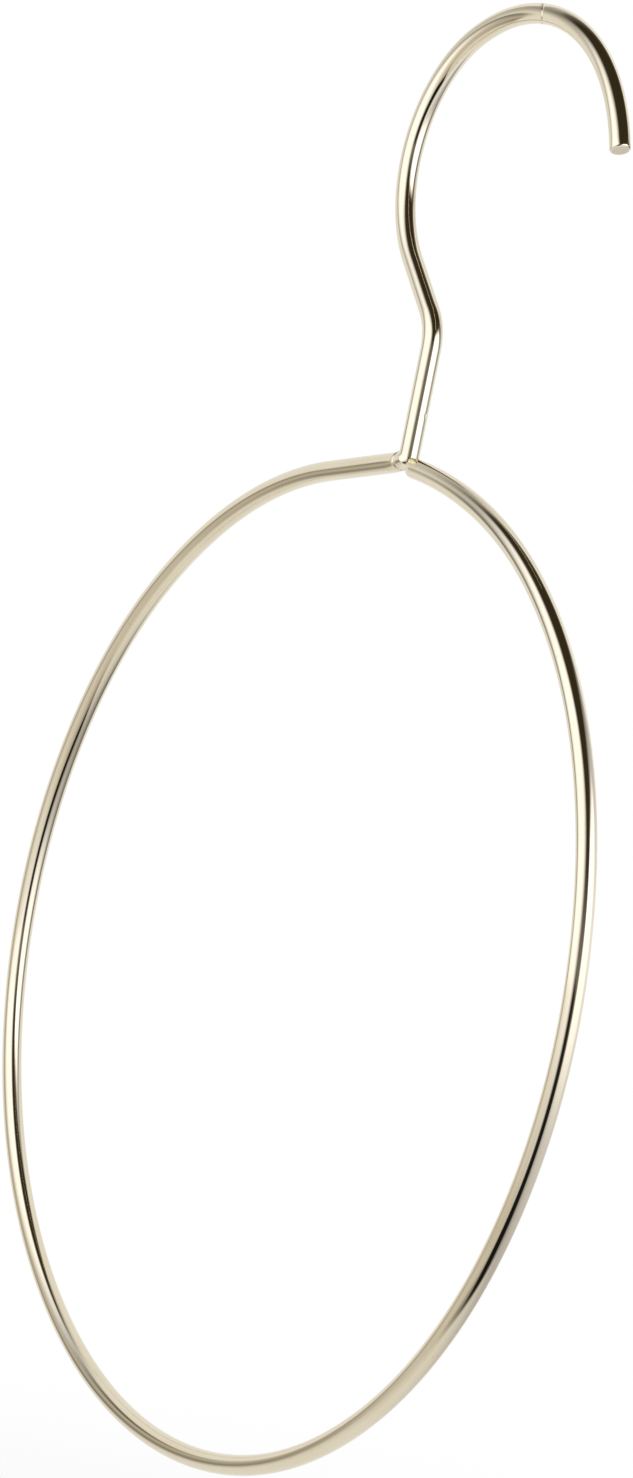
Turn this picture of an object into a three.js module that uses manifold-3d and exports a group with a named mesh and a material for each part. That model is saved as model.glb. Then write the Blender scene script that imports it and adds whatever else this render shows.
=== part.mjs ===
// Tie hanger: a ring of round wire that ties hang over, and a wire hook that a wardrobe rail carries.
// The ring's left end starts to bend up and is butt-welded to the foot of the hook, which carries the bend on.
// The ring's right end is cut square and brazed against the outside of that bend, so nothing on it moves.
// Millimetres and degrees. The wires lie in the XZ plane, +Z is up, and +X points to the open side of the hook.
// The origin is the rail seat: the inside of the hook's crown.
import * as THREE from "three";
import { mergeVertices } from "three/addons/utils/BufferGeometryUtils.js";
import Module from "manifold-3d";

// The wire and the ring
const WIRE_DIAMETER = 4;
const RING_OUTER_DIAMETER = 200;
const LEFT_ARM_RISE = 14; // slope of the straight run on the ring's left arm
const RIGHT_END_OFFSET = 2.45; // from the hanger's middle to the square end of the right arm
const RIGHT_END_EDGE = 0.25; // rounding of that end

// The elbow, where the left arm turns up into the stem, and its weld
const CORNER_RISE = 1; // where arm and stem would cross, above the centreline of the ring's top
const ELBOW_RADIUS = 4;
const SEAM_TURN = 13; // how far the ring's wire turns before the seam
const SEAM_LENGTH = 0.8; // length of the weld along the wire
const SEAM_SWELL = 0.1; // how far the weld stands proud of the wire

// The hook, in the order in which its wire is bent
const STEM_LEAN = 6; // away from the hook's open side
const STEM_LENGTH = 18.2;
const NECK_RADIUS = 11;
const NECK_TURN = 44;
const SHOULDER_LENGTH = 13.5;
const BACK_RADIUS = 28;
const BACK_TURN = 107;
const CROWN_RADIUS = 38.5;
const CROWN_TURN = 95.5;
const TIP_LENGTH = 1.8; // the straight end after the crown
const TIP_EDGE = 0.35; // rounding of the cut tip

// The braze between the right arm's end and the elbow
const BRAZE_RISE = 2; // above the centreline of the ring's top
const BRAZE_LAP = 1; // how far the bead laps onto the wire on each side

// Fits and facets
const WELD_GAP = 0.3; // between a weld and the wire that it joins
const WIRE_SIDES = 16;
const TURN_STEP = 6; // the most that a wire turns between two of its sections
const EDGE_STEPS = 3;
const BEAD_SEGMENTS = 20;
const MERGE_DISTANCE = 1e-4;

const WIRE_RADIUS = WIRE_DIAMETER / 2;
const RING_RADIUS = RING_OUTER_DIAMETER / 2 - WIRE_RADIUS;
const { degToRad, radToDeg } = THREE.MathUtils;

const wasm = await Module();
wasm.setup();

// The direction of a wire that heads this many degrees up from +X
function ahead(heading) {
  const angle = degToRad(heading);
  return new THREE.Vector3(Math.cos(angle), 0, Math.sin(angle));
}

// The direction to the left of such a wire
function leftOf(heading) {
  return ahead(heading + 90);
}

// The centreline of a wire bent in the XZ plane. A run is straight, with a length, or an arc, with a radius and
// a turn that is positive to the left. Sections are spaced by turn, so a straight run has none between its ends.
class BentWire extends THREE.Curve {
  constructor(start, heading, runs) {
    super();
    this.points = [start.clone()];
    this.headings = [heading];
    this.arcCentres = [];
    for (const run of runs) {
      if (run.radius) this.bend(run.radius, run.turn);
      else this.run(run.length);
    }
  }

  get end() {
    return this.points.at(-1);
  }

  get endHeading() {
    return this.headings.at(-1);
  }

  get steps() {
    return this.points.length - 1;
  }

  run(length) {
    this.points.push(this.end.clone().addScaledVector(ahead(this.endHeading), length));
    this.headings.push(this.endHeading);
  }

  bend(radius, turn) {
    const startHeading = this.endHeading;
    const reach = radius * Math.sign(turn);
    const centre = this.end.clone().addScaledVector(leftOf(startHeading), reach);
    const steps = Math.ceil(Math.abs(turn) / TURN_STEP);
    for (let step = 1; step <= steps; step++) {
      const heading = startHeading + (turn * step) / steps;
      this.points.push(centre.clone().addScaledVector(leftOf(heading), -reach));
      this.headings.push(heading);
    }
    this.arcCentres.push(centre);
  }

  getPoint(t, target = new THREE.Vector3()) {
    const place = t * this.steps;
    const before = Math.min(Math.floor(place), this.steps - 1);
    return target.lerpVectors(this.points[before], this.points[before + 1], place - before);
  }

  getTangent(t, target = new THREE.Vector3()) {
    return target.copy(ahead(this.headings[Math.round(t * this.steps)]));
  }

  // One step of the extrusion goes to each section, whatever the distance between them
  getUtoTmapping(u) {
    return u;
  }
}

// The short straight runs that a rounded end needs, from the end inwards
function edgeRuns(edge) {
  const depth = (step) => edge * (1 - Math.cos((step / EDGE_STEPS) * (Math.PI / 2)));
  return Array.from({ length: EDGE_STEPS }, (_, step) => ({ length: depth(step + 1) - depth(step) }));
}

// A round wire along a centreline, with square ends
function wireGeometry(path, radius) {
  const section = new THREE.Shape().absarc(0, 0, radius, 0, 2 * Math.PI);
  return new THREE.ExtrudeGeometry(section, {
    extrudePath: path,
    steps: path.steps,
    curveSegments: WIRE_SIDES / 2,
  });
}

// Rounds a wire's square end: the sections close to the end are drawn in to a quarter circle
function roundEnd(geometry, end, outward, edge) {
  const position = geometry.attributes.position;
  const fromEnd = new THREE.Vector3();
  for (let i = 0; i < position.count; i++) {
    fromEnd.fromBufferAttribute(position, i).sub(end);
    const depth = -fromEnd.dot(outward);
    if (Math.abs(depth) > edge || fromEnd.length() > 2 * WIRE_RADIUS) continue;
    const drawnIn = edge - Math.sqrt(Math.max(0, edge ** 2 - (edge - depth) ** 2));
    fromEnd.addScaledVector(outward, depth).multiplyScalar(1 - drawnIn / WIRE_RADIUS);
    fromEnd.add(end).addScaledVector(outward, -depth);
    position.setXYZ(i, fromEnd.x, fromEnd.y, fromEnd.z);
  }
}

function solidOf(geometry) {
  const bare = geometry.clone();
  bare.deleteAttribute("normal");
  bare.deleteAttribute("uv");
  const merged = mergeVertices(bare, MERGE_DISTANCE);
  const vertProperties = merged.attributes.position.array;
  const triVerts = new Uint32Array(merged.index.array);
  return new wasm.Manifold(new wasm.Mesh({ numProp: 3, vertProperties, triVerts }));
}

function geometryOf(solid) {
  const mesh = solid.getMesh();
  const geometry = new THREE.BufferGeometry();
  geometry.setAttribute("position", new THREE.BufferAttribute(mesh.vertProperties, 3));
  geometry.setIndex(new THREE.BufferAttribute(mesh.triVerts, 1));
  geometry.computeVertexNormals();
  return geometry;
}

function piece(name, geometry, material) {
  const mesh = new THREE.Mesh(geometry, material);
  mesh.name = name;
  return mesh;
}

// The elbow, with the ring's centre as the origin
const elbowTurn = 90 + STEM_LEAN - LEFT_ARM_RISE;
const cornerToElbow = ELBOW_RADIUS * Math.tan(degToRad(elbowTurn / 2));
const corner = new THREE.Vector3(0, 0, RING_RADIUS + CORNER_RISE);
const elbowStart = corner.clone().addScaledVector(ahead(LEFT_ARM_RISE), -cornerToElbow);
const elbowCentre = elbowStart.clone().addScaledVector(leftOf(LEFT_ARM_RISE), ELBOW_RADIUS);

// The turns of the elbow that the seam weld and the gap on each side of it take up
const weldTurn = radToDeg(SEAM_LENGTH / ELBOW_RADIUS);
const gapTurn = radToDeg(WELD_GAP / ELBOW_RADIUS);

function elbowPoint(heading) {
  return elbowCentre.clone().addScaledVector(leftOf(heading), -ELBOW_RADIUS);
}

// The ring's upper left quarter is bent a little tighter, and a straight run brings it to the elbow. Its radius
// and the length of that run are those with which all three meet smoothly.
function leftArm() {
  const slope = Math.sin(degToRad(LEFT_ARM_RISE));
  const level = Math.cos(degToRad(LEFT_ARM_RISE));
  const across = elbowStart.x + RING_RADIUS;
  const radius = (elbowStart.z * level - across * slope) / (1 - slope);
  const straight = (elbowStart.z - radius * level) / slope;
  return { radius, straight };
}

// The ring's centreline, clockwise from the right arm's end to the seam
function ringPath(endGrowth = 0) {
  const startAngle = radToDeg(Math.asin((RIGHT_END_OFFSET + RIGHT_END_EDGE) / RING_RADIUS));
  const arcStart = leftOf(-startAngle).multiplyScalar(RING_RADIUS);
  const end = arcStart.addScaledVector(ahead(-startAngle), -RIGHT_END_EDGE - endGrowth);
  const arm = leftArm();
  return new BentWire(end, -startAngle, [
    ...edgeRuns(RIGHT_END_EDGE + endGrowth),
    { radius: RING_RADIUS, turn: startAngle - 270 },
    { radius: arm.radius, turn: LEFT_ARM_RISE - 90 },
    { length: arm.straight },
    { radius: ELBOW_RADIUS, turn: SEAM_TURN },
  ]);
}

// The hook's centreline, from the seam up to the tip
function hookPath() {
  const heading = LEFT_ARM_RISE + SEAM_TURN + weldTurn + 2 * gapTurn;
  return new BentWire(elbowPoint(heading), heading, [
    { radius: ELBOW_RADIUS, turn: 90 + STEM_LEAN - heading },
    { length: STEM_LENGTH },
    { radius: NECK_RADIUS, turn: NECK_TURN },
    { length: SHOULDER_LENGTH },
    { radius: BACK_RADIUS, turn: -BACK_TURN },
    { radius: CROWN_RADIUS, turn: -CROWN_TURN },
    { length: TIP_LENGTH - TIP_EDGE },
    ...edgeRuns(TIP_EDGE).reverse(),
  ]);
}

function ringWire(material) {
  const path = ringPath();
  const geometry = wireGeometry(path, WIRE_RADIUS);
  roundEnd(geometry, path.points[0], ahead(path.headings[0] + 180), RIGHT_END_EDGE);
  return piece("ring_wire", geometry, material);
}

function hookWire(path, material) {
  const geometry = wireGeometry(path, WIRE_RADIUS);
  roundEnd(geometry, path.end, ahead(path.endHeading), TIP_EDGE);
  return piece("hook_wire", geometry, material);
}

// The butt weld: a short, slightly thicker stretch of the elbow
function seamWeld(material) {
  const heading = LEFT_ARM_RISE + SEAM_TURN + gapTurn;
  const path = new BentWire(elbowPoint(heading), heading, [{ radius: ELBOW_RADIUS, turn: weldTurn }]);
  return piece("seam_weld", wireGeometry(path, WIRE_RADIUS + SEAM_SWELL), material);
}

// The braze: a ball of filler that spans the gap, cut back to leave the right arm's end and the elbow free
function brazeBead(hook, material) {
  const height = RING_RADIUS + BRAZE_RISE;
  const elbowSide = elbowCentre.x + Math.sqrt((ELBOW_RADIUS + WIRE_RADIUS) ** 2 - (elbowCentre.z - height) ** 2);
  const radius = (RIGHT_END_OFFSET - elbowSide) / 2 + BRAZE_LAP;
  const ball = new THREE.SphereGeometry(radius, BEAD_SEGMENTS, BEAD_SEGMENTS / 2);
  ball.translate((RIGHT_END_OFFSET + elbowSide) / 2, 0, height);
  const arm = solidOf(wireGeometry(ringPath(WELD_GAP), WIRE_RADIUS + WELD_GAP));
  const elbow = solidOf(wireGeometry(hook, WIRE_RADIUS + WELD_GAP));
  return piece("braze_bead", geometryOf(solidOf(ball).subtract(arm).subtract(elbow)), material);
}

const paleGold = new THREE.MeshStandardMaterial({ color: 0xd8ccab, roughness: 0.2, metalness: 1 });
const brazeGold = new THREE.MeshStandardMaterial({ color: 0xd9b96a, roughness: 0.35, metalness: 1 });

// The crown's bend is the last arc of the hook, and the rail sits under its top
const hook = hookPath();
const railSeat = hook.arcCentres.at(-1).clone();
railSeat.z += CROWN_RADIUS - WIRE_RADIUS;

const wires = new THREE.Group();
wires.position.copy(railSeat).negate();
wires.add(ringWire(paleGold), hookWire(hook, paleGold), seamWeld(paleGold), brazeBead(hook, brazeGold));

const tieHanger = new THREE.Group();
tieHanger.add(wires);

export default tieHanger;
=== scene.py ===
"""Tie hanger of bent plated wire, laid out as an add-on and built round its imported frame.

A ring of drawn round wire carries the ties. Its left end rises a little and is butt-welded to the foot of the
hook, which is pressed into a corner under the stem. Its right end is cut square and brazed against the
outside of that corner. Metres, with +Z up and +X to the hook's open side.
"""
import math
import typing

import bmesh
import bpy
import numpy as np
from bpy.props import FloatProperty, FloatVectorProperty, PointerProperty
from mathutils import Matrix, Vector


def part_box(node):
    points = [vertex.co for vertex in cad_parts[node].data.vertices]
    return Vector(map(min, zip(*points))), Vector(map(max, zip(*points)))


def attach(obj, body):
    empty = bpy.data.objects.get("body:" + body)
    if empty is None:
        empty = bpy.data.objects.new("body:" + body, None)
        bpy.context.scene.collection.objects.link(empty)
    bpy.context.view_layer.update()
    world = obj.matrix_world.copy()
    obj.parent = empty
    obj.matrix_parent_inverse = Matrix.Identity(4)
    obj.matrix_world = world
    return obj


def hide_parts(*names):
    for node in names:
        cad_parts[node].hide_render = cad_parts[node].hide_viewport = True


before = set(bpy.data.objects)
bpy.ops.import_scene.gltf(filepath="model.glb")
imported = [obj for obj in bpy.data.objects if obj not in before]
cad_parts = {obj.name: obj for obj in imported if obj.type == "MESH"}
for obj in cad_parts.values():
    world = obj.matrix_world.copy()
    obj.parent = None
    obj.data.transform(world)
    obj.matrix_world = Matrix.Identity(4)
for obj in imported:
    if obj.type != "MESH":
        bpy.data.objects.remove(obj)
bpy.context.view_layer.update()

bl_info = {
    "name": "Tie Hanger",
    "version": (1, 0, 0),
    "blender": (4, 5, 0),
    "location": "View3D > Sidebar > Tie Hanger",
    "description": "Builds a tie hanger of bent plated wire and a soft studio round it",
    "category": "Object",
}

# Steps of the centrelines, and of the meshes that are swept along them
PATH_STEP = 0.00005
BEND_EASE = 0.0008
LONGEST_SECTION = 0.0012
MOST_TURN = math.radians(2.5)
MARK_SECTION = 0.00006
CORNER_SECTION = 0.00012
WIRE_SIDES = 48
EDGE_SECTIONS = 6
FACE_RINGS = (0.78, 0.52, 0.26)
FACE_DISH = 0.00006

# How far the ring stands out of a true circle, as measured: degrees round it from +X, metres outwards
RING_SWAY = (
    (-270, 0.0),
    (-230, 0.0),
    (-205, 0.0003),
    (-155, 0.0004),
    (-105, -0.0003),
    (-50, 0.0004),
    (5, -0.0006),
    (55, 0.0008),
    (90, 0.0),
)

# How steeply the pressed shape of the elbow fades on both sides of its corner
PRESS_FALL = 1.6

# How it spreads round the wire, and how much of the gathered metal its inside has
PRESS_ROUND = 1.5
INSIDE_SHARE = 2 / 3

# The length over which a slanted tip leans
SLANT_REACH = 0.002

# How far a replaced solid's box and the piece that stands for it may differ
BOX_SLACK = 0.0019

# How the lumps of braze are made and melted together
LUMP_SUBDIVISIONS = 3
MELT_SMOOTHING = 0.5
MELT_ROUNDS = 6

# Grain of the finishes, in noise cells for each metre along the wire and across it
DIE_GRAIN = (18.0, 5200.0, 5200.0)
HANDLING_GRAIN = (900.0, 2600.0, 420.0)
CROSSING_GRAIN = (650.0, 420.0, 2600.0)
CLOUD_GRAIN = (55.0, 190.0, 190.0)
SPECK_GRAIN = (2100.0, 2100.0, 2100.0)

# Where the noise starts to be a scratch, cloud or speck and where it fully is one, and how strong each is
SCRATCH_EDGE = (0.66, 0.72)
CLOUD_EDGE = (0.3, 0.7)
SPECK_EDGE = (0.68, 0.76)
SCRATCH_DEPTH = 0.35
CLOUD_SHARE = 0.45
CLOUD_ROUGHNESS = 0.55

CAMERA_SENSOR = 36.0
WHITE = (1.0, 1.0, 1.0)
BLACK = (0.0, 0.0, 0.0)


def length(name, description, default):
    """A length in metres that the sidebar shows to a hundredth of a millimetre."""
    return FloatProperty(name=name, description=description, default=default, unit="LENGTH", precision=5)


def angle(name, description, default):
    """An angle, given in degrees."""
    return FloatProperty(name=name, description=description, default=math.radians(default), subtype="ANGLE")


def colour(name, description, default):
    """A linear colour."""
    return FloatVectorProperty(
        name=name, description=description, default=default, size=3, min=0.0, max=1.0, subtype="COLOR"
    )


def share(name, description, default):
    """A number from 0 to 1."""
    return FloatProperty(
        name=name, description=description, default=default, min=0.0, max=1.0, subtype="FACTOR"
    )


class TieHangerWire(bpy.types.PropertyGroup):
    """The wire and the bends of the ring and the hook, in the order in which they are made."""

    diameter: length("Wire", "Diameter of the drawn wire", 0.004)
    ring_diameter: length("Ring", "Diameter of the ring, outside", 0.2)
    right_end_offset: length("Right end", "From the middle to the square end of the right arm", 0.00245)
    right_end_edge: length("Right end edge", "Rounding of the right arm's cut end", 0.00025)
    arm_rise: angle("Left arm rise", "Slope of the straight run on the ring's left arm", 14)
    corner_rise: length("Corner rise", "Where arm and stem meet, above the ring's top", 0.001)
    seam_to_corner: length("Foot", "From the seam on the left arm to the corner under the stem", 0.00204)
    stem_lean: angle("Stem lean", "Lean of the stem away from the hook's open side", 6)
    stem_length: length("Stem", "Straight length of the stem, from the corner", 0.02164)
    neck_radius: length("Neck", "Radius of the bend above the stem", 0.011)
    neck_turn: angle("Neck turn", "How far the neck turns", 44)
    shoulder_length: length("Shoulder", "Straight length between the neck and the back", 0.0135)
    back_radius: length("Back", "Radius of the hook's back", 0.028)
    back_turn: angle("Back turn", "How far the back turns", 107)
    crown_radius: length("Crown", "Radius of the crown that hangs on the rail", 0.0385)
    crown_turn: angle("Crown turn", "How far the crown turns", 95.5)
    tip_length: length("Tip", "Straight length after the crown", 0.0018)
    tip_edge: length("Tip edge", "Rounding of the cut tip", 0.00035)
    tip_slant: angle("Tip slant", "How far the cut of the tip is out of square", 4)


class TieHangerMarks(bpy.types.PropertyGroup):
    """The welds, and the small marks that making it left on the wire."""

    elbow_thinning: length("Elbow thinning", "How much metal the outside of the corner lost", 0.001)
    elbow_gather: length("Elbow gather", "How much metal gathered on the sides of the corner", 0.0003)
    pressed_below: length("Pressed below", "How far both reach back along the arm", 0.0022)
    pressed_above: length("Pressed above", "How far both reach up the stem", 0.0006)
    seam_length: length("Seam", "Length of the butt weld along the wire", 0.0015)
    seam_ridge: length("Seam ridge", "How far the weld's two ridges stand proud", 0.00006)
    seam_spacing: length("Ridge spacing", "Distance between the weld's two ridges", 0.0009)
    braze_lump: length("Braze lump", "Radius of the largest lump of braze", 0.001)
    trace_from_tip: length("Crown trace", "From the tip back to the fine line round the crown", 0.0456)
    trace_lean: length("Trace lean", "How far that line leans along the wire to either side", 0.0031)
    trace_width: length("Trace width", "Width of that line", 0.00032)
    trace_depth: length("Trace depth", "Depth of that line", 0.00012)
    dent_from_seam: length("Stem dent", "From the seam up to the small dent on the stem", 0.0111)
    dent_length: length("Dent length", "Length of the dent along the stem", 0.0009)
    dent_depth: length("Dent depth", "Depth of the dent", 0.00016)


class TieHangerFinish(bpy.types.PropertyGroup):
    """Colours and roughness of the plating, the welds and the cut ends."""

    plating: colour("Plating", "Pale champagne-gold plating", (0.81, 0.71, 0.535))
    plating_deep: colour("Deep plating", "Plating where it is thicker and warmer", (0.75, 0.64, 0.45))
    plating_roughness: share("Plating roughness", "Roughness of the bright plating", 0.07)
    seam: colour("Seam", "Plating over the butt weld", (0.72, 0.64, 0.47))
    braze: colour("Braze", "Brass filler", (0.95, 0.84, 0.52))
    braze_deep: colour("Deep braze", "Brass filler in its hollows", (0.75, 0.58, 0.28))
    cut_face: colour("Cut face", "Plated face of a sheared end", (0.60, 0.50, 0.38))


class TieHangerStage(bpy.types.PropertyGroup):
    """The camera, the floor and the level of the studio's light."""

    camera_place: FloatVectorProperty(
        name="Camera", description="Place of the camera", default=(0.8341, -0.5544, -0.0536), size=3,
        subtype="TRANSLATION", unit="LENGTH",
    )
    camera_turn: angle("Turn", "Direction of the camera, from +Y towards +X", -56.815)
    camera_tilt: angle("Tilt", "How far the camera looks up", -5.069)
    camera_roll: angle("Roll", "How far the camera is rolled", 14.705)
    camera_lens: FloatProperty(name="Lens", description="Focal length, in millimetres", default=127.66)
    floor_drop: length("Floor", "From the ring's centre down to the floor", 0.255)
    floor_colour: colour("Floor colour", "Pale matt floor", (0.86, 0.86, 0.86))
    daylight: share("Daylight", "Level of the even light on the floor", 0.6)
    lamp_strength: FloatProperty(
        name="Lamp", description="Strength of the lamp that gives the shadow", default=1.1
    )
    lamp_angle: angle("Lamp angle", "How wide the lamp looks from the floor", 4)
    # The walls glow in this colour: painted light standing in for the dim light that dark surroundings give
    # back
    room: colour("Room", "The glowing dark walls outside the panels", (0.04, 0.031, 0.017))


def straight(run_length):
    """A straight run of a wire: its length and turn."""
    return run_length, 0.0


def bend(radius, turn):
    """A bend of a wire: its length and turn, which is positive to the left."""
    return radius * abs(turn), turn


def ahead(heading):
    """The (x, z) direction of a wire that heads this far up from +X."""
    return np.array([math.cos(heading), math.sin(heading)])


def left_of(heading):
    """The (x, z) direction to the left of such a wire."""
    return ahead(heading + math.pi / 2)


class BentWire:
    """The centreline of a wire bent in the XZ plane, in fine steps, with each bend eased in and out."""

    def __init__(self, start, heading, runs):
        knots = np.concatenate([[0.0], np.cumsum([run[0] for run in runs])])
        turned = np.concatenate([[0.0], np.cumsum([run[1] for run in runs])])
        self.length = knots[-1]
        self.distance = np.linspace(0.0, self.length, math.ceil(self.length / PATH_STEP) + 1)
        self.step = self.distance[1]
        turning = self.eased(np.diff(np.interp(self.distance, knots, turned)))
        self.heading = heading + np.concatenate([[0.0], np.cumsum(turning)])
        self.curvature = np.gradient(self.heading, self.step)
        middle = (self.heading[:-1] + self.heading[1:]) / 2
        steps = np.stack([np.cos(middle), np.sin(middle)], axis=1) * self.step
        self.points = np.array(start) + np.concatenate([np.zeros((1, 2)), np.cumsum(steps, axis=0)])
        self.lean = np.zeros(len(self.points))

    def eased(self, turning):
        """Spreads each step's turn over its neighbours, as a real bend starts and ends softly."""
        reach = round(BEND_EASE / self.step)
        kernel = np.bartlett(2 * reach + 3)
        padded = np.pad(turning, reach + 1, mode="edge")
        return np.convolve(padded, kernel / kernel.sum(), mode="valid")

    def push_left(self, push):
        """Moves each point of the centreline sideways. The push changes slowly along the wire."""
        sideways = np.stack([-np.sin(self.heading), np.cos(self.heading)], axis=1)
        self.points = self.points + push[:, None] * sideways
        self.heading = self.heading + np.arctan(np.gradient(push, self.step))
        steps = np.hypot(*np.diff(self.points, axis=0).T)
        self.distance = np.concatenate([[0.0], np.cumsum(steps)])
        self.length = self.distance[-1]
        self.curvature = np.gradient(self.heading, self.distance)

    def add_foot(self, foot_length, foot_heading):
        """Puts a straight foot before the start, at a sharp corner.

        The sections next to the corner lean into its mitre. They stand square again at the foot's other end,
        and after twice its length on the other side.
        """
        mitre = math.tan((self.heading[0] - foot_heading) / 2)
        along = np.arange(0.0, foot_length - self.step / 2, self.step)
        foot = self.points[0] - ahead(foot_heading) * (foot_length - along)[:, None]
        lean_after = mitre * np.clip(1 - self.distance / (2 * foot_length), 0, 1)
        self.points = np.concatenate([foot, self.points])
        self.lean = np.concatenate([-mitre * along / foot_length, lean_after])
        self.heading = np.concatenate([np.full(len(along), foot_heading), self.heading])
        self.curvature = np.concatenate([np.zeros(len(along)), self.curvature])
        self.distance = np.concatenate([along, self.distance + foot_length])
        self.length = self.distance[-1]

    def stations(self, fine_spans):
        """Indexes of the mesh's sections, which are closer in bends.

        Each of fine_spans is the middle and reach of a stretch, and the spacing there.
        """
        spacing = np.minimum(LONGEST_SECTION, MOST_TURN / np.maximum(np.abs(self.curvature), 1e-6))
        for middle, reach, finest in fine_spans:
            spacing[np.abs(self.distance - middle) < reach] = finest
        passed = np.cumsum(self.step / spacing)
        wanted = np.linspace(passed[0], passed[-1], math.ceil(passed[-1]) + 1)
        return np.unique(np.searchsorted(passed, wanted).clip(0, len(passed) - 1))


def corner_point(wire):
    """The corner of the elbow, where the centrelines of arm and stem meet, from the ring's centre."""
    ring_radius = (wire.ring_diameter - wire.diameter) / 2
    return np.array([0.0, ring_radius + wire.corner_rise])


def seam_point(wire):
    """The middle of the seam, on the straight run of the arm."""
    return corner_point(wire) - ahead(wire.arm_rise) * wire.seam_to_corner


def ring_sway(angles):
    """How far the ring stands out at these angles, eased from each value of RING_SWAY to the next."""
    stops, pushes = np.array(RING_SWAY).T
    stops = np.radians(stops)
    before = (np.searchsorted(stops, angles) - 1).clip(0, len(stops) - 2)
    part = (angles - stops[before]) / (stops[before + 1] - stops[before])
    eased = part**3 * (6 * part**2 - 15 * part + 10)
    return pushes[before] + (pushes[before + 1] - pushes[before]) * eased


def ring_path(wire):
    """The ring's centreline, clockwise from the right arm's end to the middle of the seam.

    Its upper left quarter is bent a little tighter, and a straight run brings it to the seam. That radius and
    the length of that run are those with which all three meet smoothly.
    """
    ring_radius = (wire.ring_diameter - wire.diameter) / 2
    begin = math.asin((wire.right_end_offset + wire.right_end_edge) / ring_radius)
    end = seam_point(wire)
    slope = math.sin(wire.arm_rise)
    level = math.cos(wire.arm_rise)
    across = end[0] + ring_radius
    arm_radius = (end[1] * level - across * slope) / (1 - slope)
    arm_straight = (end[1] - arm_radius * level) / slope
    runs = [
        bend(ring_radius, begin - 1.5 * math.pi),
        bend(arm_radius, wire.arm_rise - math.pi / 2),
        straight(arm_straight),
    ]
    path = BentWire(left_of(-begin) * ring_radius, -begin, runs)
    path.push_left(ring_sway(np.unwrap(np.arctan2(path.points[:, 1], path.points[:, 0]))))
    return path


def hook_path(wire):
    """The hook's centreline, from the middle of the seam to where the rounding of its tip starts."""
    runs = [
        straight(wire.stem_length),
        bend(wire.neck_radius, wire.neck_turn),
        straight(wire.shoulder_length),
        bend(wire.back_radius, -wire.back_turn),
        bend(wire.crown_radius, -wire.crown_turn),
        straight(wire.tip_length - wire.tip_edge),
    ]
    path = BentWire(corner_point(wire), math.pi / 2 + wire.stem_lean, runs)
    path.add_foot(wire.seam_to_corner, wire.arm_rise)
    return path


def seam_path(wire, marks):
    """The short stretch of the arm that the butt weld covers."""
    start = seam_point(wire) - ahead(wire.arm_rise) * marks.seam_length / 2
    return BentWire(start, wire.arm_rise, [straight(marks.seam_length)])


def ring_centre(wire):
    """The ring's centre in the part's frame, whose origin is the rail seat under the top of the crown."""
    path = hook_path(wire)
    top = path.points[np.argmax(path.points[:, 1])]
    return np.array([-top[0], wire.diameter / 2 - top[1]])


class EndSections(typing.NamedTuple):
    """The sections that close one end of a wire: how far each lies past its end, and its radius."""

    reach: np.ndarray
    radius: np.ndarray


def cut_end(wire_radius, edge):
    """A sheared end: a rounded edge, then rings that close its slightly dished face."""
    turns = np.linspace(0.0, math.pi / 2, EDGE_SECTIONS + 1)[1:]
    face = np.array(FACE_RINGS)
    reach = np.concatenate([edge * np.sin(turns), edge - FACE_DISH * (1 - face**2)])
    radius = np.concatenate([wire_radius - edge + edge * np.cos(turns), (wire_radius - edge) * face])
    return EndSections(reach, radius)


def welded_end():
    """An end that a weld hides needs no rounding."""
    return EndSections(np.zeros(0), np.zeros(0))


def with_ends(first, body, last):
    """Rows of a wire's body between those of its first end, from the tip inwards, and of its last end."""
    return np.concatenate([first[::-1], body, last])


def swept_wire(name, path, ends, radius_at, fine_spans=(), slant=0.0):
    """A closed mesh along a centreline. The faces of its cut ends take the second material.

    radius_at gives the wire's radius for distances along it and angles round it, from the left of its
    heading towards +Y. A slant leans the last end's face to the left. Each vertex keeps its place on the
    wire as it was before bending, in the attribute "straight".
    """
    first, last = ends
    index = path.stations(fine_spans)
    around = np.arange(WIRE_SIDES) * (2 * math.pi / WIRE_SIDES)
    rows = with_ends(np.full(len(first.reach), index[0]), index, np.full(len(last.reach), index[-1]))
    reach = with_ends(-first.reach, np.zeros(len(index)), last.reach)
    even = np.ones((1, WIRE_SIDES))
    body_radius = radius_at(path.distance[index][:, None], around[None, :]) * even
    radius = with_ends(first.radius[:, None] * even, body_radius, last.radius[:, None] * even)
    distance = path.distance[rows] + reach
    heading = path.heading[rows]
    forward = np.stack([np.cos(heading), np.sin(heading)], axis=1)[:, None]
    left = np.stack([-np.sin(heading), np.cos(heading)], axis=1)[:, None]
    in_plane = np.cos(around) * radius
    out_of_plane = np.sin(around) * radius
    leaning = ((distance - path.length) / SLANT_REACH + 1).clip(0, 1)
    lean = path.lean[rows] - math.tan(slant) * leaning
    onward = reach[:, None] + lean[:, None] * in_plane
    placed = path.points[rows][:, None] + in_plane[:, :, None] * left + onward[:, :, None] * forward
    vertices = np.stack([placed[:, :, 0], out_of_plane, placed[:, :, 1]], axis=2)
    unbent = np.stack([distance[:, None] + 0 * radius, in_plane, out_of_plane], axis=2)
    face_rows = [max(len(end.reach) - EDGE_SECTIONS, 0) for end in ends]
    return tube_object(name, vertices, unbent, face_rows)


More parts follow.
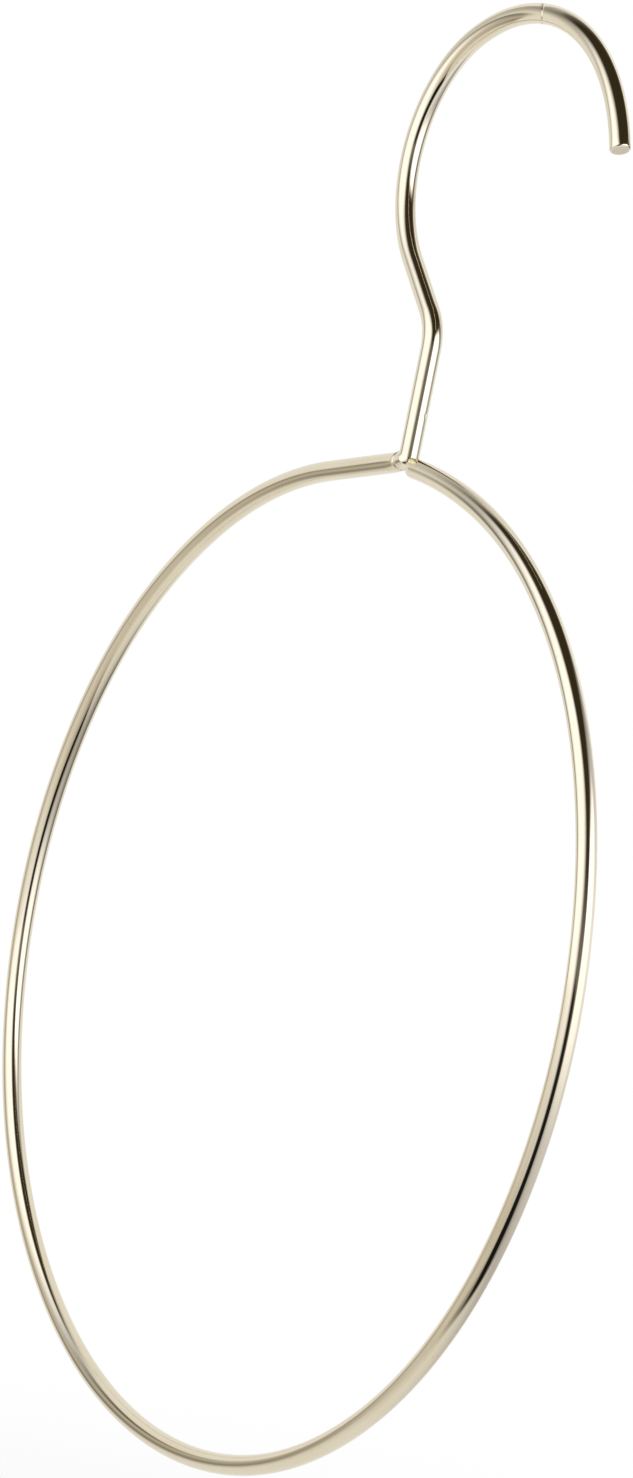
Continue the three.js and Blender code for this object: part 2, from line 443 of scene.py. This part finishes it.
def tube_object(name, vertices, unbent, face_rows):
    """An object whose closed tube joins rows of vertices.

    face_rows is how many rows at each end are a cut face.
    """
    rows, sides = vertices.shape[:2]
    first_middle = vertices[0].mean(axis=0)
    last_middle = vertices[-1].mean(axis=0)
    points = np.concatenate([vertices.reshape(-1, 3), [first_middle, last_middle]])
    places = np.concatenate([unbent.reshape(-1, 3), [unbent[0].mean(axis=0), unbent[-1].mean(axis=0)]])
    corner = np.arange(rows * sides).reshape(rows, sides)
    turned = np.roll(corner, -1, axis=1)
    quads = np.stack([corner[:-1], turned[:-1], turned[1:], corner[1:]], axis=2).reshape(-1, 4)
    first_fan = [(rows * sides, int(b), int(a)) for a, b in zip(corner[0], turned[0])]
    last_fan = [(rows * sides + 1, int(a), int(b)) for a, b in zip(corner[-1], turned[-1])]
    mesh = bpy.data.meshes.new(name)
    mesh.from_pydata(points.tolist(), [], [tuple(quad) for quad in quads.tolist()] + first_fan + last_fan)
    attribute = mesh.attributes.new("straight", "FLOAT_VECTOR", "POINT")
    attribute.data.foreach_set("vector", places.astype(np.float32).ravel())
    row = np.repeat(np.arange(rows - 1), sides)
    is_face = (row < face_rows[0]) | (row >= rows - 1 - face_rows[1])
    fans = np.repeat([face_rows[0] > 0, face_rows[1] > 0], sides)
    mesh.polygons.foreach_set("material_index", np.concatenate([is_face, fans]).astype(np.int32))
    mesh.polygons.foreach_set("use_smooth", np.ones(len(mesh.polygons), dtype=bool))
    return finished_object(name, mesh)


def finished_object(name, mesh):
    """Turns the mesh's faces outwards and puts it in the scene."""
    work = bmesh.new()
    work.from_mesh(mesh)
    bmesh.ops.recalc_face_normals(work, faces=work.faces)
    work.to_mesh(mesh)
    work.free()
    mesh.update()
    made = bpy.data.objects.new(name, mesh)
    bpy.context.scene.collection.objects.link(made)
    return made


def moved_to_frame(piece, wire):
    """Moves a mesh made round the ring's centre into the part's frame."""
    centre = ring_centre(wire)
    piece.data.transform(Matrix.Translation((centre[0], 0.0, centre[1])))


def stand_for(piece, node, materials):
    """Gives a piece its finish and lets it ride in place of a CAD node, if it is where the node is."""
    for material in materials:
        piece.data.materials.append(material)
    corners = np.array([vertex.co for vertex in piece.data.vertices])
    low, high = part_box(node)
    below = np.abs(corners.min(axis=0) - np.array(low)).max()
    above = np.abs(corners.max(axis=0) - np.array(high)).max()
    off = max(below, above)
    if off > BOX_SLACK:
        raise RuntimeError(f"{piece.name} differs from {node} by {off * 1000:.2f} mm")
    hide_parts(node)
    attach(piece, "root")


def add_node(tree, kind, place, **inputs):
    """A shader node at a place in the editor, with inputs set. Spaces in their names are given as _."""
    node = tree.nodes.new(kind)
    node.location = place
    for name, value in inputs.items():
        node.inputs[name.replace("_", " ")].default_value = value
    return node


def math_node(tree, operation, place, first, second=None):
    """A Math node whose inputs are sockets or numbers."""
    node = tree.nodes.new("ShaderNodeMath")
    node.operation = operation
    node.location = place
    for socket, value in zip(node.inputs, (first, second)):
        if isinstance(value, bpy.types.NodeSocket):
            tree.links.new(value, socket)
        elif value is not None:
            socket.default_value = value
    return node.outputs[0]


def span_node(tree, place, value, low, high):
    """A Map Range node that goes from 0 at low to 1 at high, smooth at both ends."""
    node = tree.nodes.new("ShaderNodeMapRange")
    node.interpolation_type = "SMOOTHSTEP"
    node.location = place
    tree.links.new(value, node.inputs["Value"])
    node.inputs["From Min"].default_value = low
    node.inputs["From Max"].default_value = high
    return node.outputs["Result"]


def colour_mix(tree, place, factor, first, second):
    """A Mix Color node. Factor is a socket, and each colour is a socket or a linear colour."""
    node = tree.nodes.new("ShaderNodeMix")
    node.data_type = "RGBA"
    node.location = place
    tree.links.new(factor, node.inputs["Factor"])
    sockets = [socket for socket in node.inputs if socket.type == "RGBA"]
    for socket, value in zip(sockets, (first, second)):
        if isinstance(value, bpy.types.NodeSocket):
            tree.links.new(value, socket)
        else:
            socket.default_value = (*value, 1.0)
    return next(socket for socket in node.outputs if socket.type == "RGBA")


def new_group(name, inputs, outputs):
    """An empty shader node group. Inputs are (name, socket type, default) and outputs (name, socket type)."""
    group = bpy.data.node_groups.new(name, "ShaderNodeTree")
    for socket_name, kind, default in inputs:
        socket = group.interface.new_socket(name=socket_name, in_out="INPUT", socket_type=kind)
        if default is not None:
            socket.default_value = default
    for socket_name, kind in outputs:
        group.interface.new_socket(name=socket_name, in_out="OUTPUT", socket_type=kind)
    start = group.nodes.new("NodeGroupInput")
    start.location = (-900, 0)
    end = group.nodes.new("NodeGroupOutput")
    end.location = (900, 0)
    return group, start, end


def scaled_noise(tree, place, vector, scale, detail, roughness=0.5):
    """Noise whose vector is first scaled along each axis, so that its grain can be long in one direction."""
    stretch = tree.nodes.new("ShaderNodeVectorMath")
    stretch.operation = "MULTIPLY"
    stretch.location = (place[0] - 200, place[1])
    stretch.inputs[1].default_value = scale
    tree.links.new(vector, stretch.inputs[0])
    noise = add_node(tree, "ShaderNodeTexNoise", place, Scale=1.0, Detail=detail, Roughness=roughness)
    tree.links.new(stretch.outputs[0], noise.inputs["Vector"])
    return noise.outputs["Fac"]


def drawn_lines_group():
    """Fine lines that the drawing die leaves along a wire, and short handling scratches across them."""
    if "Drawn Lines" in bpy.data.node_groups:
        return bpy.data.node_groups["Drawn Lines"]
    group, start, end = new_group(
        "Drawn Lines",
        [("Vector", "NodeSocketVector", None)],
        [("Height", "NodeSocketFloat"), ("Scratches", "NodeSocketFloat")],
    )
    vector = start.outputs["Vector"]
    die = scaled_noise(group, (-300, 300), vector, DIE_GRAIN, 3.0)
    handling = scaled_noise(group, (-300, 0), vector, HANDLING_GRAIN, 2.0)
    crossing = scaled_noise(group, (-300, -300), vector, CROSSING_GRAIN, 2.0)
    scratch = span_node(group, (0, 0), handling, *SCRATCH_EDGE)
    other = span_node(group, (0, -300), crossing, *SCRATCH_EDGE)
    scratches = math_node(group, "MAXIMUM", (250, -150), scratch, other)
    lowered = math_node(group, "MULTIPLY", (450, 0), scratches, -SCRATCH_DEPTH)
    height = math_node(group, "ADD", (650, 150), die, lowered)
    group.links.new(height, end.inputs["Height"])
    group.links.new(scratches, end.inputs["Scratches"])
    return group


def plating_bloom_group():
    """Clouds and small specks in a plated surface, where it is a little deeper in colour and less bright."""
    if "Plating Bloom" in bpy.data.node_groups:
        return bpy.data.node_groups["Plating Bloom"]
    group, start, end = new_group(
        "Plating Bloom",
        [("Vector", "NodeSocketVector", None)],
        [("Clouds", "NodeSocketFloat"), ("Specks", "NodeSocketFloat")],
    )
    vector = start.outputs["Vector"]
    clouds = scaled_noise(group, (-300, 200), vector, CLOUD_GRAIN, 4.0, CLOUD_ROUGHNESS)
    specks = scaled_noise(group, (-300, -200), vector, SPECK_GRAIN, 2.0)
    group.links.new(span_node(group, (100, 200), clouds, *CLOUD_EDGE), end.inputs["Clouds"])
    group.links.new(span_node(group, (100, -200), specks, *SPECK_EDGE), end.inputs["Specks"])
    return group


class MetalLook(typing.NamedTuple):
    """What sets one metal finish of the hanger apart from the others."""

    name: str
    base: tuple
    deep: tuple
    roughness: float
    roughness_gain: float
    bump_distance: float
    bump_strength: float


def metal_material(look):
    """A plated or brazed metal with drawn lines, scratches, clouds and specks."""
    if look.name in bpy.data.materials:
        return bpy.data.materials[look.name]
    material = bpy.data.materials.new(look.name)
    material.use_nodes = True
    tree = material.node_tree
    surface = tree.nodes["Principled BSDF"]
    surface.inputs["Metallic"].default_value = 1.0
    place = tree.nodes.new("ShaderNodeAttribute")
    place.attribute_name = "straight"
    place.location = (-1100, 0)
    lines = tree.nodes.new("ShaderNodeGroup")
    lines.node_tree = drawn_lines_group()
    lines.location = (-850, -150)
    bloom = tree.nodes.new("ShaderNodeGroup")
    bloom.node_tree = plating_bloom_group()
    bloom.location = (-850, 150)
    for group in (lines, bloom):
        tree.links.new(place.outputs["Vector"], group.inputs["Vector"])
    marred = math_node(tree, "MAXIMUM", (-600, 0), bloom.outputs["Specks"], lines.outputs["Scratches"])
    deepened = math_node(tree, "MULTIPLY", (-600, 200), bloom.outputs["Clouds"], CLOUD_SHARE)
    depth = math_node(tree, "MAXIMUM", (-400, 200), deepened, marred)
    tree.links.new(colour_mix(tree, (-200, 200), depth, look.base, look.deep), surface.inputs["Base Color"])
    uneven = math_node(tree, "ADD", (-400, 0), bloom.outputs["Clouds"], marred)
    gained = math_node(tree, "MULTIPLY", (-250, 0), uneven, look.roughness_gain)
    tree.links.new(math_node(tree, "ADD", (-100, 0), gained, look.roughness), surface.inputs["Roughness"])
    bump = add_node(
        tree, "ShaderNodeBump", (-250, -250), Strength=look.bump_strength, Distance=look.bump_distance
    )
    tree.links.new(lines.outputs["Height"], bump.inputs["Height"])
    tree.links.new(bump.outputs["Normal"], surface.inputs["Normal"])
    return material


def plated_wire_material(finish):
    """The bright plating of both wires."""
    look = MetalLook(
        name="plated wire",
        base=tuple(finish.plating),
        deep=tuple(finish.plating_deep),
        roughness=finish.plating_roughness,
        roughness_gain=0.03,
        bump_distance=0.000002,
        bump_strength=0.12,
    )
    return metal_material(look)


def cut_face_material(finish):
    """The plated shear marks of a cut end."""
    look = MetalLook(
        name="cut face",
        base=tuple(finish.cut_face),
        deep=tuple(finish.plating_deep),
        roughness=0.3,
        roughness_gain=0.2,
        bump_distance=0.00006,
        bump_strength=0.5,
    )
    return metal_material(look)


def seam_material(finish):
    """The plated ridges of the butt weld."""
    look = MetalLook(
        name="plated seam",
        base=tuple(finish.seam),
        deep=tuple(finish.plating_deep),
        roughness=0.12,
        roughness_gain=0.06,
        bump_distance=0.00003,
        bump_strength=0.2,
    )
    return metal_material(look)


def braze_material(finish):
    """The brass filler."""
    look = MetalLook(
        name="brass braze",
        base=tuple(finish.braze),
        deep=tuple(finish.braze_deep),
        roughness=0.5,
        roughness_gain=0.12,
        bump_distance=0.00006,
        bump_strength=0.5,
    )
    return metal_material(look)


def wire_materials(finish):
    """The finishes of a wire: its length, and its cut end."""
    return [plated_wire_material(finish), cut_face_material(finish)]


def piece_settings(context):
    """The scene's sizes, marks and finishes, from which each piece is made."""
    scene = context.scene
    return scene.tie_hanger_wire, scene.tie_hanger_marks, scene.tie_hanger_finish


def elbow_radius_at(wire, marks, past_corner, around):
    """The wire's radius at distances past the elbow's corner, where it was pressed out of round.

    The outside of the corner is thinner. Its sides are thicker, and so is its inside, by less.
    """
    outside = np.clip(-np.cos(around), 0, 1) ** PRESS_ROUND
    inside = np.clip(np.cos(around), 0, 1) ** PRESS_ROUND
    gathered = marks.elbow_gather * (1 - outside - (1 - INSIDE_SHARE) * inside)
    at_corner = gathered - marks.elbow_thinning * outside
    reach = np.where(past_corner > 0, marks.pressed_above, marks.pressed_below)
    return wire.diameter / 2 + at_corner * np.exp(-(np.abs(past_corner / reach) ** PRESS_FALL))


class TIEHANGER_OT_ring_wire(bpy.types.Operator):
    """Make the ring's wire, from its brazed right end round to the seam."""

    bl_idname = "tie_hanger.ring_wire"
    bl_label = "Ring Wire"
    bl_options = {"REGISTER", "UNDO"}

    def execute(self, context):
        wire, marks, finish = piece_settings(context)
        path = ring_path(wire)

        def radius_at(distance, around):
            return elbow_radius_at(wire, marks, distance - path.length - wire.seam_to_corner, around)

        ends = (cut_end(wire.diameter / 2, wire.right_end_edge), welded_end())
        piece = swept_wire("ring", path, ends, radius_at)
        moved_to_frame(piece, wire)
        stand_for(piece, "ring_wire", wire_materials(finish))
        return {"FINISHED"}


class TIEHANGER_OT_hook_wire(bpy.types.Operator):
    """Make the hook's wire, from the seam up to its tip, with its small marks."""

    bl_idname = "tie_hanger.hook_wire"
    bl_label = "Hook Wire"
    bl_options = {"REGISTER", "UNDO"}

    dent_side: angle("Dent side", "Where round the stem the dent is, from the hook's back towards +Y", 148)
    dent_spread: angle("Dent spread", "How far round the stem the dent reaches", 16)
    trace_turn: angle("Trace turn", "Where the crown's line leans back the most, round from -Y", 16)

    def execute(self, context):
        wire, marks, finish = piece_settings(context)
        path = hook_path(wire)
        trace_at = path.length + wire.tip_edge - marks.trace_from_tip

        def radius_at(distance, around):
            leaned = trace_at - marks.trace_lean * np.sin(around + self.trace_turn)
            trace = np.exp(-(((distance - leaned) / (marks.trace_width / 2)) ** 2))
            along = (distance - marks.dent_from_seam) / (marks.dent_length / 2)
            across = (around - self.dent_side) / self.dent_spread
            dent = np.exp(-(along**2) - across**2)
            bare = elbow_radius_at(wire, marks, distance - wire.seam_to_corner, around)
            return bare - marks.trace_depth * trace - marks.dent_depth * dent

        ends = (welded_end(), cut_end(wire.diameter / 2, wire.tip_edge))
        fine_spans = [
            (wire.seam_to_corner, wire.seam_to_corner, CORNER_SECTION),
            (trace_at, marks.trace_lean + 2 * marks.trace_width, MARK_SECTION),
            (marks.dent_from_seam, marks.dent_length, MARK_SECTION),
        ]
        piece = swept_wire("hook", path, ends, radius_at, fine_spans, wire.tip_slant)
        moved_to_frame(piece, wire)
        stand_for(piece, "hook_wire", wire_materials(finish))
        return {"FINISHED"}


class TIEHANGER_OT_seam_weld(bpy.types.Operator):
    """Make the butt weld before the elbow: a short sleeve of plated metal with two raised ridges."""

    bl_idname = "tie_hanger.seam_weld"
    bl_label = "Seam Weld"
    bl_options = {"REGISTER", "UNDO"}

    ridge_width: length("Ridge width", "Width of each ridge", 0.00034)
    sunk: length("Sunk", "How far the weld's ends lie below the wire's surface", 0.00004)

    def execute(self, context):
        wire, marks, finish = piece_settings(context)
        path = seam_path(wire, marks)
        middle = path.length / 2

        def radius_at(distance, around):
            from_ridge = np.abs(distance - middle) - marks.seam_spacing / 2
            ridge = np.exp(-((from_ridge / (self.ridge_width / 2)) ** 2))
            bare = elbow_radius_at(wire, marks, distance - middle - wire.seam_to_corner, around)
            return bare - self.sunk + (marks.seam_ridge + self.sunk) * ridge

        fine_spans = [(middle, path.length, MARK_SECTION)]
        piece = swept_wire("seam", path, (welded_end(), welded_end()), radius_at, fine_spans)
        moved_to_frame(piece, wire)
        stand_for(piece, "seam_weld", [seam_material(finish)])
        return {"FINISHED"}


class TIEHANGER_OT_braze_bead(bpy.types.Operator):
    """Make the braze: lumps of brass that ran in between the right arm's end and the elbow."""

    bl_idname = "tie_hanger.braze_bead"
    bl_label = "Braze Bead"
    bl_options = {"REGISTER", "UNDO"}

    grain: length("Grain", "Size of the grid on which the lumps are melted together", 0.00007)

    # Each lump's place from the middle of the ring's top and its radius, in radii of the largest lump
    LUMPS = (
        ((2.4, -0.1, 0.8), 1.0),
        ((3.0, -1.05, 1.0), 0.85),
        ((2.5, 1.0, 0.8), 0.75),
        ((3.7, -1.0, 1.15), 0.75),
        ((4.35, -1.3, 1.05), 0.75),
        ((4.75, -1.35, 1.1), 0.45),
        ((3.6, 0.9, 1.1), 0.6),
    )

    def execute(self, context):
        wire, marks, finish = piece_settings(context)
        ring_top = Vector((0.0, 0.0, (wire.ring_diameter - wire.diameter) / 2))
        work = bmesh.new()
        for place, size in self.LUMPS:
            at = Matrix.Translation(ring_top + Vector(place) * marks.braze_lump)
            radius = size * marks.braze_lump
            bmesh.ops.create_icosphere(work, subdivisions=LUMP_SUBDIVISIONS, radius=radius, matrix=at)
        mesh = bpy.data.meshes.new("braze")
        work.to_mesh(mesh)
        work.free()
        piece = finished_object("braze", mesh)
        moved_to_frame(piece, wire)
        melt(piece, self.grain)
        stand_for(piece, "braze_bead", [braze_material(finish)])
        return {"FINISHED"}


def melt(piece, grain):
    """Melts overlapping lumps into one smooth closed skin, and notes each point's place for its finish."""
    remesh = piece.modifiers.new("Melt", "REMESH")
    remesh.mode = "VOXEL"
    remesh.voxel_size = grain
    smooth = piece.modifiers.new("Smooth", "SMOOTH")
    smooth.factor = MELT_SMOOTHING
    smooth.iterations = MELT_ROUNDS
    evaluated = piece.evaluated_get(bpy.context.evaluated_depsgraph_get())
    melted = bpy.data.meshes.new_from_object(evaluated)
    piece.modifiers.clear()
    piece.data = melted
    points = np.empty(len(melted.vertices) * 3, dtype=np.float32)
    melted.vertices.foreach_get("co", points)
    melted.attributes.new("straight", "FLOAT_VECTOR", "POINT").data.foreach_set("vector", points)
    melted.polygons.foreach_set("use_smooth", np.ones(len(melted.polygons), dtype=bool))


class SoftPanel(typing.NamedTuple):
    """A light panel or card of the studio, placed from the ring's centre. Its angles are in degrees."""

    name: str
    place: tuple
    turn: float
    tilt: float
    half_size: tuple
    edge: tuple
    brightness: float
    tint: tuple


# Tints of the studio's light, and its panels, most of them rounded from a fit to the bands on the wire
COOL = (0.95, 1.0, 1.12)
NEUTRAL = (0.97, 1.0, 1.02)
WARM = (1.03, 1.0, 0.91)
PANELS = (
    SoftPanel("key_box", (0.01, -0.31, 0.09), 5, -5, (0.27, 0.33), (0.16, 0.12), 1.45, COOL),
    SoftPanel("side_box", (0.54, 0.18, 0.28), -120, 10, (0.33, 0.29), (0.15, 0.16), 2.3, COOL),
    SoftPanel("low_card", (0.26, -0.02, 0.03), -160, 10, (0.30, 0.07), (0.10, 0.16), 1.3, COOL),
    SoftPanel("back_sheet", (-0.21, 0.04, -0.03), 125, -20, (0.33, 0.30), (0.08, 0.13), 0.95, NEUTRAL),
    SoftPanel("left_card", (-0.20, -0.24, -0.10), -5, 40, (0.38, 0.10), (0.02, 0.15), 0.6, WARM),
    SoftPanel("front_card", (0.85, -0.45, 0.20), -60, -5, (0.28, 0.22), (0.20, 0.20), 0.2, WARM),
    SoftPanel("top_card", (-0.03, 0.31, 0.39), 200, -105, (0.05, 0.30), (0.01, 0.15), 1.2, NEUTRAL),
    # A glowing card in place of the lit floor: a painted reflection of the floor, which the wire does not
    # mirror itself
    SoftPanel("floor_glow_card", (-0.10, 0.0, -0.25), 130, 90, (0.26, 0.31), (0.16, 0.03), 0.9, NEUTRAL),
    SoftPanel("black_flag", (0.43, -0.36, -0.14), -55, 45, (0.20, 0.42), (0.08, 0.05), 0.01, NEUTRAL),
)

# How far off the dark walls are, how the lamp leans, and the floor's size
ROOM_REACH = 1.5
LAMP_LEAN = (math.radians(18), math.radians(-12), 0.0)
FLOOR_HALF_SIZE = (0.42, 0.42)
FLOOR_EDGE = (0.26, 0.26)


def soft_edge_group():
    """A mask that fades a flat panel out round its edges, from its own x and y."""
    if "Soft Edge" in bpy.data.node_groups:
        return bpy.data.node_groups["Soft Edge"]
    inputs = [
        ("Vector", "NodeSocketVector", None),
        ("Half Width", "NodeSocketFloat", 0.3),
        ("Half Height", "NodeSocketFloat", 0.3),
        ("Edge Across", "NodeSocketFloat", 0.1),
        ("Edge Up", "NodeSocketFloat", 0.1),
    ]
    group, start, end = new_group("Soft Edge", inputs, [("Mask", "NodeSocketFloat")])
    parts = group.nodes.new("ShaderNodeSeparateXYZ")
    parts.location = (-700, 0)
    group.links.new(start.outputs["Vector"], parts.inputs["Vector"])
    fades = []
    sides = (("X", "Half Width", "Edge Across", 150), ("Y", "Half Height", "Edge Up", -150))
    for axis, half, edge, y in sides:
        away = math_node(group, "ABSOLUTE", (-500, y), parts.outputs[axis])
        inside = math_node(group, "SUBTRACT", (-300, y), start.outputs[half], away)
        fraction = math_node(group, "DIVIDE", (-100, y), inside, start.outputs[edge])
        fades.append(span_node(group, (100, y), fraction, -1.0, 1.0))
    group.links.new(math_node(group, "MULTIPLY", (400, 0), *fades), end.inputs["Mask"])
    return group


def sheet_object(name, half_size, edge):
    """A flat rectangle that reaches past its half size by the width of its soft edge."""
    x = half_size[0] + edge[0]
    y = half_size[1] + edge[1]
    mesh = bpy.data.meshes.new(name)
    mesh.from_pydata([(-x, -y, 0), (x, -y, 0), (x, y, 0), (-x, y, 0)], [], [(0, 1, 2, 3)])
    made = bpy.data.objects.new(name, mesh)
    bpy.context.scene.collection.objects.link(made)
    return made


def sheet_material(name, half_size, edge, base, glow, strength):
    """A matt, glowing, one-sided surface with soft edges."""
    material = bpy.data.materials.new(name)
    material.use_nodes = True
    tree = material.node_tree
    surface = tree.nodes["Principled BSDF"]
    surface.inputs["Base Color"].default_value = (*base, 1.0)
    surface.inputs["Roughness"].default_value = 1.0
    surface.inputs["Specular IOR Level"].default_value = 0.0
    surface.inputs["Emission Color"].default_value = (*glow, 1.0)
    surface.inputs["Emission Strength"].default_value = strength
    place = tree.nodes.new("ShaderNodeTexCoord")
    place.location = (-900, 0)
    fade = tree.nodes.new("ShaderNodeGroup")
    fade.node_tree = soft_edge_group()
    fade.location = (-700, 0)
    tree.links.new(place.outputs["Object"], fade.inputs["Vector"])
    for socket_name, value in zip(("Half Width", "Half Height"), half_size):
        fade.inputs[socket_name].default_value = value
    for socket_name, value in zip(("Edge Across", "Edge Up"), edge):
        fade.inputs[socket_name].default_value = value
    side = tree.nodes.new("ShaderNodeNewGeometry")
    side.location = (-700, -250)
    front = math_node(tree, "SUBTRACT", (-450, -200), 1.0, side.outputs["Backfacing"])
    shown = math_node(tree, "MULTIPLY", (-250, -100), fade.outputs["Mask"], front)
    tree.links.new(shown, surface.inputs["Alpha"])
    return material


def level_across(turn):
    """The level direction to the right of one that is turned this far from +Y towards +X."""
    return Vector((math.cos(turn), -math.sin(turn), 0.0))


def turned_and_tilted(turn, tilt):
    """The direction that is turned this far from +Y towards +X, and tilted up."""
    level = math.cos(tilt)
    return Vector((math.sin(turn) * level, math.cos(turn) * level, math.sin(tilt)))


def facing(turn, tilt):
    """The rotation of a sheet that faces this way."""
    across = level_across(turn)
    normal = turned_and_tilted(turn, tilt)
    return Matrix((across, normal.cross(across), normal)).transposed().to_4x4()


class TIEHANGER_OT_stage(bpy.types.Operator):
    """Make the camera, the pale floor, the studio's panels and the white background."""

    bl_idname = "tie_hanger.stage"
    bl_label = "Stage"
    bl_options = {"REGISTER", "UNDO"}

    def execute(self, context):
        scene = context.scene
        settings = scene.tie_hanger_stage
        centre_x, centre_z = ring_centre(scene.tie_hanger_wire)
        centre = Vector((centre_x, 0.0, centre_z))
        self.camera(scene, settings)
        self.room(scene, settings)
        self.walls(settings, centre)
        self.floor(settings, centre)
        self.lamp(scene, settings)
        for panel in PANELS:
            self.panel(panel, centre)
        scene.view_settings.view_transform = "Standard"
        return {"FINISHED"}

    def camera(self, scene, settings):
        """The camera, at the photograph's viewing angle."""
        data = bpy.data.cameras.new("camera")
        data.sensor_width = CAMERA_SENSOR
        data.sensor_fit = "AUTO"
        data.lens = settings.camera_lens
        camera = bpy.data.objects.new("camera", data)
        scene.collection.objects.link(camera)
        forward = turned_and_tilted(settings.camera_turn, settings.camera_tilt)
        right = Matrix.Rotation(-settings.camera_roll, 3, forward) @ level_across(settings.camera_turn)
        turned = Matrix((right, right.cross(forward), -forward)).transposed().to_4x4()
        camera.matrix_world = Matrix.Translation(settings.camera_place) @ turned
        scene.camera = camera

    def room(self, scene, settings):
        """The world: white where the camera or a mirror looks into it, and even daylight on the floor."""
        world = bpy.data.worlds.new("studio")
        world.use_nodes = True
        tree = world.node_tree
        rays = tree.nodes.new("ShaderNodeLightPath")
        rays.location = (-900, 0)
        mirrored = math_node(
            tree, "MAXIMUM", (-700, -150), rays.outputs["Is Glossy Ray"], rays.outputs["Is Transmission Ray"]
        )
        seen = math_node(tree, "MAXIMUM", (-500, 0), rays.outputs["Is Camera Ray"], mirrored)
        shown = colour_mix(tree, (-300, 0), seen, (settings.daylight,) * 3, WHITE)
        tree.links.new(shown, tree.nodes["Background"].inputs["Color"])
        scene.world = world

    def walls(self, settings, centre):
        """Dark walls round the panels. They glow dimly in the room colour, as painted light for the dim
        surroundings that the wire mirrors. The far side is open, so that the wire mirrors the white there.
        """
        work = bmesh.new()
        bmesh.ops.create_cube(work, size=2 * ROOM_REACH)
        far = [face for face in work.faces if face.normal.y > 0.5]
        bmesh.ops.delete(work, geom=far, context="FACES")
        mesh = bpy.data.meshes.new("glowing_dark_walls")
        work.to_mesh(mesh)
        work.free()
        walls = bpy.data.objects.new("glowing_dark_walls", mesh)
        bpy.context.scene.collection.objects.link(walls)
        walls.matrix_world = Matrix.Translation(centre) @ Matrix.Rotation(-settings.camera_turn, 4, "Z")
        material = bpy.data.materials.new("glowing dark walls")
        material.use_nodes = True
        surface = material.node_tree.nodes["Principled BSDF"]
        surface.inputs["Base Color"].default_value = (*BLACK, 1.0)
        surface.inputs["Specular IOR Level"].default_value = 0.0
        # The walls glow in the room colour: painted light for the dim surroundings, seen only in the wire
        surface.inputs["Emission Color"].default_value = (*settings.room, 1.0)
        surface.inputs["Emission Strength"].default_value = 1.0
        mesh.materials.append(material)
        self.only_mirrored(walls)

    def floor(self, settings, centre):
        """The pale matt floor that takes the shadow and fades into the white."""
        floor = sheet_object("floor", FLOOR_HALF_SIZE, FLOOR_EDGE)
        pale = tuple(settings.floor_colour)
        material = sheet_material("pale floor", FLOOR_HALF_SIZE, FLOOR_EDGE, pale, WHITE, 0.0)
        floor.data.materials.append(material)
        floor.matrix_world = Matrix.Translation(centre - Vector((0.0, 0.0, settings.floor_drop)))
        # The wire mirrors the glowing floor card here instead: a painted reflection of the lit floor
        floor.visible_glossy = False

    def lamp(self, scene, settings):
        """The soft lamp that gives the shadow."""
        data = bpy.data.lights.new("shadow_lamp", "SUN")
        data.energy = settings.lamp_strength
        data.angle = settings.lamp_angle
        lamp = bpy.data.objects.new("shadow_lamp", data)
        lamp.rotation_euler = LAMP_LEAN
        lamp.visible_glossy = False
        scene.collection.objects.link(lamp)

    def panel(self, panel, centre):
        """One panel or card of the studio."""
        sheet = sheet_object(panel.name, panel.half_size, panel.edge)
        material = sheet_material(
            panel.name, panel.half_size, panel.edge, BLACK, panel.tint, panel.brightness
        )
        sheet.data.materials.append(material)
        turned = facing(math.radians(panel.turn), math.radians(panel.tilt))
        sheet.matrix_world = Matrix.Translation(centre + Vector(panel.place)) @ turned
        self.only_mirrored(sheet)

    def only_mirrored(self, sheet):
        """Leaves a sheet of the studio out of everything but the reflections in the wire."""
        sheet.visible_camera = False
        sheet.visible_diffuse = False
        sheet.visible_shadow = False


OPERATORS = (
    TIEHANGER_OT_ring_wire,
    TIEHANGER_OT_hook_wire,
    TIEHANGER_OT_seam_weld,
    TIEHANGER_OT_braze_bead,
    TIEHANGER_OT_stage,
)


class TIEHANGER_PT_panel(bpy.types.Panel):
    """Sizes, finishes and makers of the tie hanger."""

    bl_idname = "TIEHANGER_PT_panel"
    bl_label = "Tie Hanger"
    bl_space_type = "VIEW_3D"
    bl_region_type = "UI"
    bl_category = "Tie Hanger"

    def draw(self, context):
        scene = context.scene
        for settings in (
            scene.tie_hanger_wire,
            scene.tie_hanger_marks,
            scene.tie_hanger_finish,
            scene.tie_hanger_stage,
        ):
            box = self.layout.box()
            for name in settings.bl_rna.properties.keys():
                if name not in ("rna_type", "name"):
                    box.prop(settings, name)
        for operator in OPERATORS:
            self.layout.operator(operator.bl_idname)


CLASSES = (TieHangerWire, TieHangerMarks, TieHangerFinish, TieHangerStage, *OPERATORS, TIEHANGER_PT_panel)


def register():
    """Adds the classes and their settings to Blender."""
    for cls in CLASSES:
        bpy.utils.register_class(cls)
    bpy.types.Scene.tie_hanger_wire = PointerProperty(type=TieHangerWire)
    bpy.types.Scene.tie_hanger_marks = PointerProperty(type=TieHangerMarks)
    bpy.types.Scene.tie_hanger_finish = PointerProperty(type=TieHangerFinish)
    bpy.types.Scene.tie_hanger_stage = PointerProperty(type=TieHangerStage)


def unregister():
    """Takes them away again."""
    del bpy.types.Scene.tie_hanger_stage
    del bpy.types.Scene.tie_hanger_finish
    del bpy.types.Scene.tie_hanger_marks
    del bpy.types.Scene.tie_hanger_wire
    for cls in reversed(CLASSES):
        bpy.utils.unregister_class(cls)


def main():
    """Makes every piece and the stage."""
    register()
    bpy.ops.tie_hanger.stage()
    bpy.ops.tie_hanger.ring_wire()
    bpy.ops.tie_hanger.hook_wire()
    bpy.ops.tie_hanger.seam_weld()
    bpy.ops.tie_hanger.braze_bead()


if __name__ == "__main__":
    main()
